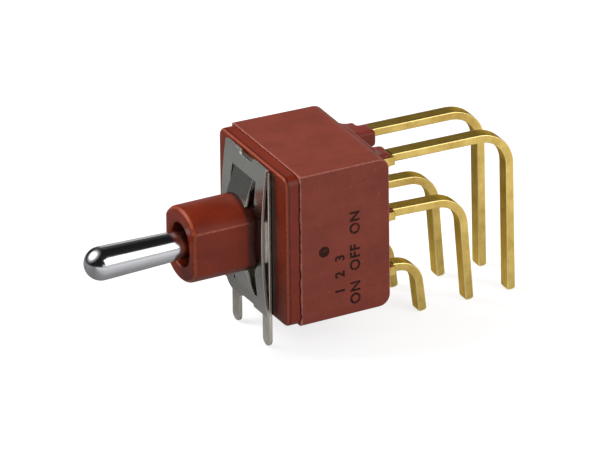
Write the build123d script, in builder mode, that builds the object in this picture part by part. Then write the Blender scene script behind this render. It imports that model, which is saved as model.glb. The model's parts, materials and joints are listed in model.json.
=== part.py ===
"""Sealed miniature toggle switch: two poles, on-off-on, for upright mounting on a circuit board.

Millimetres, +Z up. The toggle points to -Y and the terminals leave the case to +Y.
The origin is the middle of the underside of the case, the face that seats on the board.
"""

import os
from math import atan, cos, degrees, radians, sin, sqrt, tan

from build123d import *

os.makedirs("parts", exist_ok=True)

# Case
case_width = 11.43
case_depth = 7.94
case_height = 12.80
case_draft = 1.0
case_wall = 0.92
back_wall = 1.50
back_edge_radius = 0.95
case_edge_radius = 0.15
cavity_corner_radius = 0.50
partition_thickness = 0.60
partition_reach = 1.90
well_margin = 1.06
well_depth = 0.70
well_corner_radius = 0.60

# Cover with its moulded bushing
flange_thickness = 1.14
flange_inset = 0.02
flange_corner_radius = 0.75
flange_edge_radius = 0.28
spigot_depth = 0.60
spigot_wall = 0.60
bushing_diameter = 6.18
bushing_flats = 5.06
bushing_length = 6.43
bushing_edge_radius = 0.42
mouth_width = 3.10
mouth_height = 3.60
mouth_edge_radius = 0.24
arm_room_depth = 0.80
arm_room_margin = 0.30

# Toggle lever, its pivot and its seal
lever_reach = 8.18
lever_tip_diameter = 2.70
lever_root_diameter = 2.28
ball_diameter = 3.60
pivot_setback = 2.50
neck_diameter = 1.70
neck_reach = 0.25
neck_taper_length = 0.20
arm_diameter = 1.60
tang_diameter = 1.20
tang_length_share = 0.69
lever_throw = 12.5
pin_diameter = 0.90
pin_length = 4.16
pin_chamfer = 0.10
o_ring_section = 0.50

# Plunger carrier, plungers and springs
carrier_gap = 0.70
carrier_length_share = 0.69
carrier_end_margin = 1.16
carrier_height = 2.50
carrier_edge_radius = 0.20
spring_floor_share = 0.155
plunger_diameter = 1.32
plunger_tail_share = 0.31
spring_diameter = 1.20
spring_wire = 0.16
spring_wire_sides = 6
spring_turns = 4

# Rocker contacts
rocker_width = 2.00
rocker_thickness = 0.35
rocker_tip_inset = 0.17
rocker_dish_depth = 0.40
rocker_dish_share = 0.495
rocker_tip_set = 0.30
rocker_crest_radius = 0.40
rocker_throw = 5.0
rocker_waist = 1.46
rocker_notch_height = 1.20

# Terminals
pole_pitch_share = 0.418
row_pitch_share = 0.369
terminal_width = 1.16
terminal_thickness = 0.70
terminal_tip_chamfer = 0.15
shoulder_width = 2.20
shoulder_reach = 1.63
tail_length = 2.72
bottom_leg_setback = 3.90
middle_leg_setback = 8.16
top_leg_setback = 12.00
bottom_bend_radius = 1.85
middle_bend_radius = 2.35
top_bend_radius = 2.70
bottom_leg_lean = 6.6
middle_leg_lean = 4.0
top_leg_lean = 0.4
bottom_run_droop = 7.0
middle_run_droop = 2.5
top_run_droop = 1.2
fulcrum_reach = 1.34
fulcrum_radius = 0.33
ear_width = 0.30
ear_reach = 0.62

# Potting around the terminals
collar_margin = 0.25
collar_lip = 0.08
collar_reach = 1.20
seal_drop = 0.12

# Support bracket
bracket_side_band = 0.07
bracket_thickness = 0.30
bracket_top_drop = 0.40
bracket_leg_width = 1.20
bracket_leg_length = 2.62
bracket_lip_reach = 0.35

# Retaining clip
clip_side_band = 0.31
clip_end_margin = 0.05
clip_lift = 0.08
clip_thickness = 0.25
clip_bow = 0.48
clip_hole_clearance = 0.15
clip_window_width = 4.00
clip_end_band = 1.40
clip_tab_width = 3.06
clip_tab_lean = 0.80
clip_tab_root_share = 0.05
clip_notch_width = 2.04
clip_notch_depth = 0.30
clip_corner_radius = 1.10

# Clearances, and how far a cut runs past its face
slip_clearance = 0.05
running_clearance = 0.06
press_clearance = 0.01
contact_clearance = 0.04
overrun = 1.0

# Planes and sizes that several pieces share
axis_z = case_height / 2
back_y = case_depth / 2
seam_y = -case_depth / 2
flange_front_y = seam_y - flange_thickness
bracket_front_y = flange_front_y - bracket_thickness
bushing_front_y = flange_front_y - bushing_length
pivot_y = bushing_front_y + pivot_setback
inner_back_y = back_y - back_wall
well_floor_y = back_y - well_depth
seal_back_y = back_y - seal_drop
shoulder_y = back_y + shoulder_reach

cavity_width = case_width - 2 * case_wall
cavity_height = case_height - 2 * case_wall
well_width = case_width - 2 * well_margin
well_height = case_height - 2 * well_margin
bushing_radius = bushing_diameter / 2
ball_radius = ball_diameter / 2
bore_radius = ball_radius + running_clearance
arm_radius = arm_diameter / 2
tang_radius = tang_diameter / 2
pin_radius = pin_diameter / 2
plunger_radius = plunger_diameter / 2
pole_pitch = pole_pitch_share * case_width
row_pitch = row_pitch_share * case_height
rocker_reach = row_pitch - rocker_tip_inset
pole_offset = pole_pitch / 2
sides = (("left", -pole_offset), ("right", pole_offset))
toggle_axis = Axis((0, 0, axis_z), (0, 1, 0))

# Where the pieces of the mechanism stand along the toggle axis
fulcrum_y = inner_back_y - fulcrum_reach
rocker_y = fulcrum_y - press_clearance - rocker_thickness
plunger_tip_y = rocker_y - contact_clearance
carrier_front_y = seam_y + carrier_gap
carrier_length = carrier_length_share * (rocker_y - carrier_front_y)
carrier_back_y = carrier_front_y + carrier_length
spring_floor_y = carrier_front_y + spring_floor_share * carrier_length
plunger_tail_y = carrier_back_y - plunger_tail_share * carrier_length
tang_length = tang_length_share * carrier_length
rocker_tip_y = rocker_y + rocker_tip_set
rocker_swing = rocker_reach * sin(radians(rocker_throw))
fixed_contact_y = rocker_tip_y + rocker_thickness + rocker_swing + contact_clearance

# Terminal rows from the board upward: height, inner end, leg setback, bend radius, lean and droop
bottom_bend = (bottom_leg_setback, bottom_bend_radius, bottom_leg_lean, bottom_run_droop)
middle_bend = (middle_leg_setback, middle_bend_radius, middle_leg_lean, middle_run_droop)
top_bend = (top_leg_setback, top_bend_radius, top_leg_lean, top_run_droop)
rows = {
    "bottom": (axis_z - row_pitch, fixed_contact_y, bottom_bend),
    "middle": (axis_z, fulcrum_y, middle_bend),
    "top": (axis_z + row_pitch, fixed_contact_y, top_bend),
}
terminal_places = [(x, row[0]) for _, x in sides for row in rows.values()]
slot_width = shoulder_width + 2 * press_clearance
slot_height = terminal_thickness + 2 * press_clearance


def front_plane(y):
    """A plane across the toggle axis that faces the toggle's tip: its x is X and its y is Z."""
    return Plane.XZ.offset(-y)


def save(builder, name):
    """Label a finished piece and write it to its own file."""
    builder.part.label = name
    export_step(builder.part, f"parts/{name}.step")


# Case: a deep moulded box, open to the front, with a potting well in its back
with BuildPart() as case:
    with BuildSketch(front_plane(seam_y)):
        with Locations((0, axis_z)):
            Rectangle(case_width, case_height)
    extrude(amount=-case_depth)
    drafted_faces = case.faces().filter_by(Axis.X) + case.faces().sort_by(Axis.Z)[-1:]
    draft(drafted_faces, neutral_plane=front_plane(seam_y), angle=-case_draft)
    fillet(case.faces().sort_by(Axis.Y)[-1].edges().filter_by(Axis.X), radius=back_edge_radius)
    case_sides = case.faces().sort_by(Axis.X)
    fillet(case_sides[0].edges() + case_sides[-1].edges(), radius=case_edge_radius)
    with BuildSketch(front_plane(seam_y)):
        with Locations((0, axis_z)):
            RectangleRounded(cavity_width, cavity_height, cavity_corner_radius)
    extrude(amount=-(case_depth - back_wall), mode=Mode.SUBTRACT)
    with BuildSketch(front_plane(inner_back_y - partition_reach)):
        with Locations((0, axis_z)):
            Rectangle(partition_thickness, cavity_height)
    extrude(amount=-partition_reach)
    with BuildSketch(front_plane(well_floor_y)):
        with Locations((0, axis_z)):
            RectangleRounded(well_width, well_height, well_corner_radius)
    extrude(amount=-(well_depth + overrun), mode=Mode.SUBTRACT)
    with BuildSketch(front_plane(well_floor_y)):
        with Locations(*terminal_places):
            Rectangle(slot_width, slot_height)
    extrude(amount=back_wall - well_depth + overrun, mode=Mode.SUBTRACT)
save(case, "case")

# Cover: a flange, a bushing with two flats and a spigot that locates it in the case
flange_width = case_width - 2 * flange_inset
flange_height = case_height - 2 * flange_inset
spigot_width = cavity_width - 2 * slip_clearance
spigot_height = cavity_height - 2 * slip_clearance
o_ring_radius = o_ring_section / 2
o_ring_circle = bore_radius - press_clearance - o_ring_radius
o_ring_y = pivot_y - sqrt((ball_radius + press_clearance + o_ring_radius) ** 2 - o_ring_circle**2)
seat_y = o_ring_y - o_ring_radius - press_clearance
arm_sweep = (seam_y - pivot_y) * sin(radians(lever_throw)) + arm_radius / cos(radians(lever_throw))
pin_slot_radius = pin_radius + running_clearance
pin_slot_length = seam_y - pivot_y

with BuildPart() as cover:
    with BuildSketch(front_plane(seam_y)):
        with Locations((0, axis_z)):
            RectangleRounded(flange_width, flange_height, flange_corner_radius)
    extrude(amount=flange_thickness)
    fillet(cover.faces().sort_by(Axis.Y)[0].edges(), radius=flange_edge_radius)
    with BuildSketch(front_plane(flange_front_y)):
        with Locations((0, axis_z)):
            Circle(bushing_radius)
            Rectangle(bushing_flats, bushing_diameter, mode=Mode.INTERSECT)
    extrude(amount=bushing_length)
    fillet(cover.faces().sort_by(Axis.Y)[0].edges(), radius=bushing_edge_radius)
    with BuildSketch(front_plane(seam_y)):
        with Locations((0, axis_z)):
            RectangleRounded(spigot_width, spigot_height, cavity_corner_radius)
            Rectangle(spigot_width - 2 * spigot_wall, spigot_height - 2 * spigot_wall, mode=Mode.SUBTRACT)
    extrude(amount=-spigot_depth)
    # Bore for the lever's ball, opening into the room that the lever's arm swings through
    with BuildSketch(front_plane(seam_y)):
        with Locations((0, axis_z)):
            Circle(bore_radius)
    extrude(amount=seam_y - seat_y, mode=Mode.SUBTRACT)
    with BuildSketch(front_plane(seam_y)):
        with Locations((0, axis_z)):
            Circle(arm_sweep + arm_room_margin)
    extrude(amount=arm_room_depth, mode=Mode.SUBTRACT)
    with BuildSketch(front_plane(seat_y)):
        with Locations((0, axis_z)):
            SlotOverall(mouth_height, mouth_width, rotation=90)
    extrude(amount=seat_y - bushing_front_y + overrun, mode=Mode.SUBTRACT)
    mouth_edges = cover.faces().sort_by(Axis.Y)[0].inner_wires()[0].edges()
    fillet(mouth_edges, radius=mouth_edge_radius)
    # Slots that take the ends of the pivot pin, open to the rear
    with BuildSketch(Plane.YZ):
        with Locations((pivot_y, axis_z)):
            Circle(pin_slot_radius)
            Rectangle(pin_slot_length, 2 * pin_slot_radius, align=(Align.MIN, Align.CENTER))
    extrude(amount=pin_length / 2 + slip_clearance, both=True, mode=Mode.SUBTRACT)
save(cover, "cover_bushing")

# Toggle lever: a bat handle, a pivot ball and an arm that ends in a tang, turned in one piece
tip_radius = lever_tip_diameter / 2
root_radius = lever_root_diameter / 2
neck_radius = neck_diameter / 2
tip_y = bushing_front_y - lever_reach
neck_end_y = seat_y - neck_reach
neck_front_y = neck_end_y - neck_taper_length
ball_front_y = pivot_y - sqrt(ball_radius**2 - neck_radius**2)
ball_rear_y = pivot_y + sqrt(ball_radius**2 - arm_radius**2)

with BuildPart() as toggle_lever:
    with BuildSketch(Plane.YZ):
        with BuildLine():
            nose = CenterArc((tip_y + tip_radius, axis_z), tip_radius, 90, 90)
            Polyline(
                nose @ 0,
                (neck_front_y, axis_z + root_radius),
                (neck_end_y, axis_z + neck_radius),
                (ball_front_y, axis_z + neck_radius),
            )
            ThreePointArc(
                (ball_front_y, axis_z + neck_radius),
                (pivot_y, axis_z + ball_radius),
                (ball_rear_y, axis_z + arm_radius),
            )
            Polyline(
                (ball_rear_y, axis_z + arm_radius),
                (carrier_front_y, axis_z + arm_radius),
                (carrier_front_y, axis_z + tang_radius),
                (carrier_front_y + tang_length, axis_z + tang_radius),
                (carrier_front_y + tang_length, axis_z),
                nose @ 1,
            )
        make_face()
    revolve(axis=toggle_axis)
    with BuildSketch(Plane.YZ):
        with Locations((pivot_y, axis_z)):
            Circle(pin_radius + press_clearance)
    extrude(amount=ball_radius, both=True, mode=Mode.SUBTRACT)
save(toggle_lever, "toggle_lever")

# Pivot pin, pressed through the ball
with BuildPart() as pivot_pin:
    with BuildSketch(Plane.YZ):
        with Locations((pivot_y, axis_z)):
            Circle(pin_radius)
    extrude(amount=pin_length / 2, both=True)
    chamfer(pivot_pin.edges().filter_by(GeomType.CIRCLE), length=pin_chamfer)
save(pivot_pin, "pivot_pin")

# Sealing ring between the ball and its seat behind the mouth
with BuildPart() as lever_o_ring:
    with BuildSketch(Plane.YZ):
        with Locations((o_ring_y, axis_z + o_ring_circle)):
            Circle(o_ring_radius)
    revolve(axis=toggle_axis)
save(lever_o_ring, "lever_o_ring")

# Plunger carrier: a crossbar on the lever's tang with one blind bore for each pole
plunger_bore_radius = plunger_radius + running_clearance

with BuildPart() as plunger_carrier:
    with BuildSketch(front_plane(carrier_front_y)):
        with Locations((0, axis_z)):
            SlotOverall(pole_pitch + 2 * carrier_end_margin, carrier_height)
    extrude(amount=-carrier_length)
    carrier_ends = plunger_carrier.faces().sort_by(Axis.Y)
    fillet(carrier_ends[0].edges() + carrier_ends[-1].edges(), radius=carrier_edge_radius)
    with BuildSketch(front_plane(carrier_front_y)):
        with Locations((0, axis_z)):
            Circle(tang_radius + press_clearance)
    extrude(amount=-(tang_length + press_clearance), mode=Mode.SUBTRACT)
    with BuildSketch(front_plane(spring_floor_y)):
        with Locations(*[(x, axis_z) for _, x in sides]):
            Circle(plunger_bore_radius)
    extrude(amount=spring_floor_y - carrier_back_y, mode=Mode.SUBTRACT)
save(plunger_carrier, "plunger_carrier")

# Rocker contact outline: a dish for the plunger between two crests, and arms that reach the end contacts
crest_y = rocker_y - rocker_dish_depth
rocker_dish_reach = rocker_dish_share * rocker_reach
spring_length = plunger_tail_y - spring_floor_y - 2 * press_clearance - spring_wire

for side, pole_x in sides:
    pole_plane = Plane.YZ.offset(pole_x)
    pole_axis = Axis((pole_x, 0, axis_z), (0, 1, 0))

    with BuildPart() as plunger:
        with BuildSketch(pole_plane):
            with BuildLine():
                dome = CenterArc((plunger_tip_y - plunger_radius, axis_z), plunger_radius, 0, 90)
                Polyline(
                    dome @ 1,
                    (plunger_tail_y, axis_z + plunger_radius),
                    (plunger_tail_y, axis_z),
                    dome @ 0,
                )
            make_face()
        revolve(axis=pole_axis)
    save(plunger, f"plunger_{side}")

    with BuildPart() as spring:
        with BuildLine():
            coil = Helix(
                pitch=spring_length / spring_turns,
                height=spring_length,
                radius=(spring_diameter - spring_wire) / 2,
                center=(pole_x, spring_floor_y + press_clearance + spring_wire / 2, axis_z),
                direction=(0, 1, 0),
            )
        with BuildSketch(Plane(origin=coil @ 0, z_dir=coil % 0)):
            RegularPolygon(spring_wire / 2, spring_wire_sides)
        sweep()
    save(spring, f"plunger_spring_{side}")

    with BuildPart() as rocker:
        with BuildSketch(pole_plane):
            with BuildLine():
                dish = ThreePointArc(
                    (crest_y, axis_z - rocker_dish_reach),
                    (rocker_y, axis_z),
                    (crest_y, axis_z + rocker_dish_reach),
                )
                Line((rocker_tip_y, axis_z - rocker_reach), dish @ 0)
                Line(dish @ 1, (rocker_tip_y, axis_z + rocker_reach))
                offset(amount=rocker_thickness, side=Side.RIGHT)
            make_face()
        extrude(amount=rocker_width / 2, both=True)
        crests = rocker.edges().filter_by(Axis.X).sort_by(Axis.Y)[:2]
        fillet(crests, radius=rocker_crest_radius)
        with BuildSketch(front_plane(fulcrum_y + overrun)):
            with Locations((pole_x, axis_z)):
                Rectangle(rocker_width + overrun, rocker_notch_height)
                Rectangle(rocker_waist, rocker_notch_height, mode=Mode.SUBTRACT)
        extrude(amount=rocker_thickness + 2 * overrun, mode=Mode.SUBTRACT)
    save(rocker, f"rocker_contact_{side}")

    for row, (height, inner_y, bend) in rows.items():
        setback, bend_radius, lean, droop = bend
        lean_slope = tan(radians(lean))
        droop_slope = tan(radians(droop))
        board_y = back_y + setback
        run_height = height + shoulder_y * droop_slope
        corner_y = (board_y - lean_slope * run_height) / (1 - lean_slope * droop_slope)
        corner_z = height - (corner_y - shoulder_y) * droop_slope
        tip = (board_y + tail_length * lean_slope, -tail_length)

        with BuildPart() as terminal:
            with BuildSketch(pole_plane):
                with BuildLine():
                    FilletPolyline(
                        (back_y, height), (shoulder_y, height), (corner_y, corner_z), tip, radius=bend_radius
                    )
                trace(line_width=terminal_thickness)
            extrude(amount=terminal_width / 2, both=True)
            chamfer(terminal.faces().sort_by(Axis.Z)[0].edges(), length=terminal_tip_chamfer)
            with BuildSketch(front_plane(inner_y)):
                with Locations((pole_x, height)):
                    Rectangle(shoulder_width, terminal_thickness)
            extrude(amount=-(shoulder_y - inner_y))
            if row == "middle":
                nose_edges = terminal.faces().sort_by(Axis.Y)[0].edges().filter_by(Axis.X)
                fillet(nose_edges, radius=fulcrum_radius)
                with BuildSketch(front_plane(inner_y + terminal_thickness)):
                    with Locations((pole_x, height)):
                        with GridLocations(shoulder_width - ear_width, 0, 2, 1):
                            Rectangle(ear_width, terminal_thickness)
                extrude(amount=terminal_thickness + ear_reach)
        save(terminal, f"terminal_{side}_{row}")

# Potting: fills the well behind the case and climbs each terminal in a collar
collar_length = collar_reach + seal_drop
collar_taper = degrees(atan((collar_margin - collar_lip) / collar_length))

with BuildPart() as terminal_seal:
    with BuildSketch(front_plane(seal_back_y)):
        with Locations((0, axis_z)):
            RectangleRounded(
                well_width - 2 * press_clearance, well_height - 2 * press_clearance, well_corner_radius
            )
    extrude(amount=seal_back_y - well_floor_y)
    with BuildSketch(front_plane(seal_back_y)):
        with Locations(*terminal_places):
            Rectangle(shoulder_width + 2 * collar_margin, terminal_thickness + 2 * collar_margin)
    extrude(amount=-collar_length, taper=collar_taper)
    with BuildSketch(front_plane(well_floor_y - overrun)):
        with Locations(*terminal_places):
            Rectangle(slot_width, slot_height)
    extrude(amount=-(collar_length + well_depth + 2 * overrun), mode=Mode.SUBTRACT)
save(terminal_seal, "terminal_seal")

# Support bracket: a stamped plate with two legs for the board and two lips along the bushing's flats
bracket_width = bushing_diameter + 2 * bracket_side_band
bracket_height = case_height - bracket_top_drop
bracket_leg_pitch = bracket_width - bracket_leg_width
bracket_hole_width = bushing_flats + 2 * slip_clearance
bracket_lip_height = sqrt(bushing_diameter**2 - bushing_flats**2)

with BuildPart() as support_bracket:
    with BuildSketch(front_plane(flange_front_y)):
        Rectangle(bracket_width, bracket_height, align=(Align.CENTER, Align.MIN))
        with GridLocations(bracket_leg_pitch, 0, 2, 1):
            leg_shaft_length = bracket_leg_length - bracket_leg_width / 2
            Rectangle(bracket_leg_width, leg_shaft_length, align=(Align.CENTER, Align.MAX))
            with Locations((0, -leg_shaft_length)):
                Circle(bracket_leg_width / 2)
    extrude(amount=bracket_thickness)
    with BuildSketch(front_plane(bracket_front_y)):
        with Locations((0, axis_z)):
            with GridLocations(bracket_hole_width + bracket_thickness, 0, 2, 1):
                Rectangle(bracket_thickness, bracket_lip_height)
    extrude(amount=bracket_lip_reach)
    with BuildSketch(front_plane(flange_front_y)):
        with Locations((0, axis_z)):
            Circle(bushing_radius + slip_clearance)
            Rectangle(bracket_hole_width, bushing_diameter + 2 * slip_clearance, mode=Mode.INTERSECT)
    extrude(amount=bracket_thickness, mode=Mode.SUBTRACT)
save(support_bracket, "support_bracket")

# Retaining clip: a bowed spring plate whose two lanced tabs grip the bushing
clip_width = bushing_diameter + 2 * clip_side_band
clip_height = case_height - 2 * clip_end_margin
clip_window_height = clip_height - 2 * clip_end_band
clip_end_y = bracket_front_y - press_clearance - clip_thickness
clip_crown_y = clip_end_y - clip_bow
clip_half = clip_height / 2
clip_bow_radius = (clip_half**2 + clip_bow**2) / (2 * clip_bow)
tab_root = clip_window_height / 2
tab_root_y = clip_crown_y + clip_bow_radius - sqrt(clip_bow_radius**2 - tab_root**2)
tab_end = sqrt(bushing_radius**2 - (clip_tab_width / 2) ** 2)
tab_embed = clip_tab_root_share * (tab_root - tab_end)
tab_embed_y = clip_tab_root_share * clip_tab_lean
clip_middle_z = axis_z + clip_lift

with BuildPart() as retaining_clip:
    with BuildSketch(Plane.YZ):
        with BuildLine():
            ThreePointArc(
                (clip_end_y, clip_middle_z - clip_half),
                (clip_crown_y, clip_middle_z),
                (clip_end_y, clip_middle_z + clip_half),
            )
            offset(amount=clip_thickness, side=Side.RIGHT)
        make_face()
    extrude(amount=clip_width / 2, both=True)
    with BuildSketch(front_plane(bracket_front_y)) as clip_outline:
        with Locations((0, clip_middle_z)):
            Rectangle(clip_width, clip_height)
        low_corners = clip_outline.vertices().group_by(Axis.Y)[0].sort_by(Axis.X)
        fillet(low_corners[0], radius=clip_corner_radius)
        with Locations((0, clip_middle_z)):
            with GridLocations(0, clip_height - clip_notch_depth, 1, 2):
                Rectangle(clip_notch_width, clip_notch_depth, mode=Mode.SUBTRACT)
        with Locations((0, axis_z)):
            Circle(bushing_radius + clip_hole_clearance, mode=Mode.SUBTRACT)
            Rectangle(clip_window_width, clip_window_height, mode=Mode.SUBTRACT)
    extrude(amount=clip_bow + clip_thickness + overrun, mode=Mode.INTERSECT)
    for upward in (1, -1):
        with BuildSketch(Plane.YZ):
            with BuildLine():
                Line(
                    (tab_root_y + tab_embed_y, axis_z + upward * (tab_root + tab_embed)),
                    (tab_root_y - clip_tab_lean, axis_z + upward * tab_end),
                )
                offset(amount=clip_thickness, side=Side.LEFT if upward > 0 else Side.RIGHT)
            make_face()
        extrude(amount=clip_tab_width / 2, both=True)
    with BuildSketch(front_plane(bracket_front_y)):
        with Locations((0, axis_z)):
            Circle(bushing_radius + press_clearance)
    extrude(amount=clip_bow + clip_tab_lean + overrun, mode=Mode.SUBTRACT)
save(retaining_clip, "retaining_clip")
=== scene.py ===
# %% [markdown]
# # A sealed miniature toggle switch
#
# The switch stands on a circuit board: a red-brown moulded case, a cover with a flatted bushing,
# a bright bat lever, a tin-plated bracket held by a bowed spring clip, and six gold-plated
# terminals that bend down to the board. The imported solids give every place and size, so this
# script only dresses them: it softens edges, pours the potting, mixes the finishes and sets up
# the picture.

# %% Load the frame
import json
import math

import bmesh
import bpy
from mathutils import Matrix, Vector, noise


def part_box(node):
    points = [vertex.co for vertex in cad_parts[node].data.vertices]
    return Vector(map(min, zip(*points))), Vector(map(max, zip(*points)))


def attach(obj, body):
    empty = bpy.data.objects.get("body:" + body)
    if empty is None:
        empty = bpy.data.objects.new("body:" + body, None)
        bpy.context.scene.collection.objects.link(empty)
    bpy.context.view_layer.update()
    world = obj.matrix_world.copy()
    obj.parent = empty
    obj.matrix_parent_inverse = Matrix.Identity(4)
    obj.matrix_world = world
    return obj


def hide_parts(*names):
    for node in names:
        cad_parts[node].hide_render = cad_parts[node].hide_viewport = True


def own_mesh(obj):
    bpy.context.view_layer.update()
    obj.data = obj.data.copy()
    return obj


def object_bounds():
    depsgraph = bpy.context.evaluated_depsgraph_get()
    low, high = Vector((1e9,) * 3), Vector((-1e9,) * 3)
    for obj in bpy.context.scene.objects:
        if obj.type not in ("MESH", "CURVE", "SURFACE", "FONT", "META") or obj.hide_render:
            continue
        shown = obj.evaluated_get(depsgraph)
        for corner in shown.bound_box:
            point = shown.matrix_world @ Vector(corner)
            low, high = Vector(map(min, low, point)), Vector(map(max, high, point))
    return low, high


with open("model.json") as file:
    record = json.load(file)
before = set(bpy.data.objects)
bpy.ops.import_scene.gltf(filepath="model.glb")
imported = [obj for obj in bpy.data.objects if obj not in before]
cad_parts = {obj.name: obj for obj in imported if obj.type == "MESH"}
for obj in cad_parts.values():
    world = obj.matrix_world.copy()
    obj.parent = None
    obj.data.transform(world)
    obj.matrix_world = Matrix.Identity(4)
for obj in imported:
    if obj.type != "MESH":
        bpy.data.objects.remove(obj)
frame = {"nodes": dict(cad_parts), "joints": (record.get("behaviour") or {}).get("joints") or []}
nodes = frame["nodes"]
cad_low, cad_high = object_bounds()
MM = 0.001
case_low, case_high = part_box("case")
seam_centre = Vector((0.0, case_low.y, (case_low.z + case_high.z) / 2))
print("nodes:", len(nodes), "box in mm:", [round(v / MM, 2) for v in cad_high - cad_low])

# %% [markdown]
# ## Writing shader maths as sums
#
# A finish is easier to read as a sum than as a list of node links. `Wire` holds one socket and
# lets `+ - * /` and `abs` add a Math node each. `Finish` holds one material, and its `node` method
# adds any other node: first the settings, then the values or links of its sockets.


# %% A socket that can stand in a sum
class Wire:
    """A socket that can stand in a sum."""

    def __init__(self, finish, socket):
        self.finish = finish
        self.socket = socket

    def sum(self, operation, first, second):
        return self.finish.node("ShaderNodeMath", {"operation": operation}, {0: first, 1: second})

    def __add__(self, other):
        return self.sum("ADD", self, other)

    def __radd__(self, other):
        return self.sum("ADD", other, self)

    def __sub__(self, other):
        return self.sum("SUBTRACT", self, other)

    def __rsub__(self, other):
        return self.sum("SUBTRACT", other, self)

    def __mul__(self, other):
        return self.sum("MULTIPLY", self, other)

    def __rmul__(self, other):
        return self.sum("MULTIPLY", other, self)

    def __truediv__(self, other):
        return self.sum("DIVIDE", self, other)

    def __abs__(self):
        return self.finish.node("ShaderNodeMath", {"operation": "ABSOLUTE"}, {0: self})


print("sums of sockets: + - * / and abs")


# %% A material under construction
class Finish:
    """One material: a Principled shader and whatever feeds it."""

    def __init__(self, name, **constants):
        self.material = bpy.data.materials.new(name)
        self.material.use_nodes = True
        self.tree = self.material.node_tree
        self.shader = self.tree.nodes["Principled BSDF"]
        for socket, value in constants.items():
            self.shader.inputs[socket.replace("_", " ")].default_value = value

    def node(self, kind, settings, sockets, output=0):
        """Any node: its settings first, then the values or links of its sockets."""
        made = self.tree.nodes.new(kind)
        for key, value in settings.items():
            if key == "stops":
                while len(made.color_ramp.elements) < len(value):
                    made.color_ramp.elements.new(1.0)
                for element, (place, tone) in zip(made.color_ramp.elements, value):
                    element.position = place
                    element.color = (tone, tone, tone, 1.0)
            else:
                setattr(made, key, value)
        for key, value in sockets.items():
            if isinstance(value, Wire):
                self.tree.links.new(value.socket, made.inputs[key])
            else:
                made.inputs[key].default_value = value
        return Wire(self, made.outputs[output])

    def millimetres(self, stretch=(1.0, 1.0, 1.0)):
        """Object coordinates counted in millimetres, squeezed along an axis where asked."""
        place = self.node("ShaderNodeTexCoord", {}, {}, output="Object")
        scale = tuple(s / MM for s in stretch)
        return self.node("ShaderNodeMapping", {}, {"Vector": place, "Scale": scale})

    def parts(self, vector):
        """The three components of a vector."""
        return [self.node("ShaderNodeSeparateXYZ", {}, {0: vector}, output=axis) for axis in "XYZ"]

    def grain(self, scale, detail=3.0, roughness=0.55, stretch=(1.0, 1.0, 1.0)):
        """Soft noise from 0 to 1, with its scale in features per millimetre."""
        sockets = {
            "Vector": self.millimetres(stretch),
            "Scale": scale,
            "Detail": detail,
            "Roughness": roughness,
        }
        return self.node("ShaderNodeTexNoise", {}, sockets, output=0)

    def normal(self):
        """The surface's own direction at each point."""
        return self.node("ShaderNodeTexCoord", {}, {}, output="Normal")

    def ramp(self, value, *stops):
        """A tone that follows straight lines between (place, tone) stops."""
        return self.node("ShaderNodeValToRGB", {"stops": stops}, {"Fac": value})

    def tint(self, share, first, second):
        """A colour between two others."""
        sockets = {0: share, 6: first, 7: second}
        return self.node("ShaderNodeMix", {"data_type": "RGBA"}, sockets, output=2)

    def bump(self, height, distance, strength=1.0):
        """A relief with its depth in millimetres."""
        sockets = {"Height": height, "Distance": distance * MM, "Strength": strength}
        return self.node("ShaderNodeBump", {}, sockets)

    def feed(self, **wires):
        """Link wires to the shader's sockets, and hand over the material."""
        for socket, wire in wires.items():
            self.tree.links.new(wire.socket, self.shader.inputs[socket.replace("_", " ")])
        return self.material


print("a finish is one Principled shader and what feeds it")


# %% Colours as the eye reads them
def shade(red, green, blue):
    """A colour as the eye reads it on a screen, from 0 to 255, made linear."""
    parts = [c / 255 for c in (red, green, blue)]
    return tuple(c / 12.92 if c < 0.04 else ((c + 0.055) / 1.055) ** 2.4 for c in parts) + (1.0,)


print("a middle grey is", [round(c, 3) for c in shade(128, 128, 128)])

# %% [markdown]
# ## Moulded resin
#
# Case and cover are thermoset mouldings. The surface is satin, with a fine matt grain from the
# mould, faint flow clouds and a few pale scuffs. The rounded edges, and on the cover the upper
# corners of the bushing's flats, are painted paler as a highlight. The corners are found by the
# surface's own normal: on a flat face it points along one axis, on a rounded edge it is slanted.
# Each moulding also has a line that runs round it at one distance from the seam: the case has a
# pale painted highlight along its mouth, and the cover has a dark parting line where the two halves
# of its mould met. The cover is painted darker as shade in the mouth, round the foot of the bushing
# and beside the clip. One function makes both resins, because the cover is a redder batch of the
# same.

# %% Where lines, edges and painted shade lie, in millimetres
BUSHING_DIAMETER, BUSHING_FLATS = 6.18, 5.06
FLAT_CORNER_HEIGHT = math.sqrt(BUSHING_DIAMETER ** 2 - BUSHING_FLATS ** 2) / 2
CORNER_LINE_WIDTH = 0.16
PARTING_DISTANCE, PARTING_WIDTH = 0.87, 0.09
# The pale line along the case's mouth is a painted highlight.
MOUTH_HIGHLIGHT_DISTANCE, MOUTH_HIGHLIGHT_WIDTH = 0.07, 0.13
# Painted shade starts at this y on the bushing, and fades out over this length at the ends of the
# clip.
FOOT_START, PAINTED_SHADE_FADE = -7.02, 0.6
# Square millimetres round the bushing's axis that count as 1 on a ramp.
AXIS_AREA = 20.0
axis_height = seam_centre.z / MM
seam_y = case_low.y / MM
bracket_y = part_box("support_bracket")[0].y / MM
mouth_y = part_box("cover_bushing")[0].y / MM
plate_low, plate_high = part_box("retaining_clip")
plate_edge = plate_high.x / MM
plate_half_height = (plate_high.z - plate_low.z) / 2 / MM - PAINTED_SHADE_FADE
print("y of seam, bracket, mouth:", [round(y, 2) for y in (seam_y, bracket_y, mouth_y)])


# %% How a moulding is coloured
# Painted shade: the tone that darkens the cover in its mouth, round the bushing's foot and beside
# the clip.
PAINTED_SHADE_TONE = shade(38, 6, 2)


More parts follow.
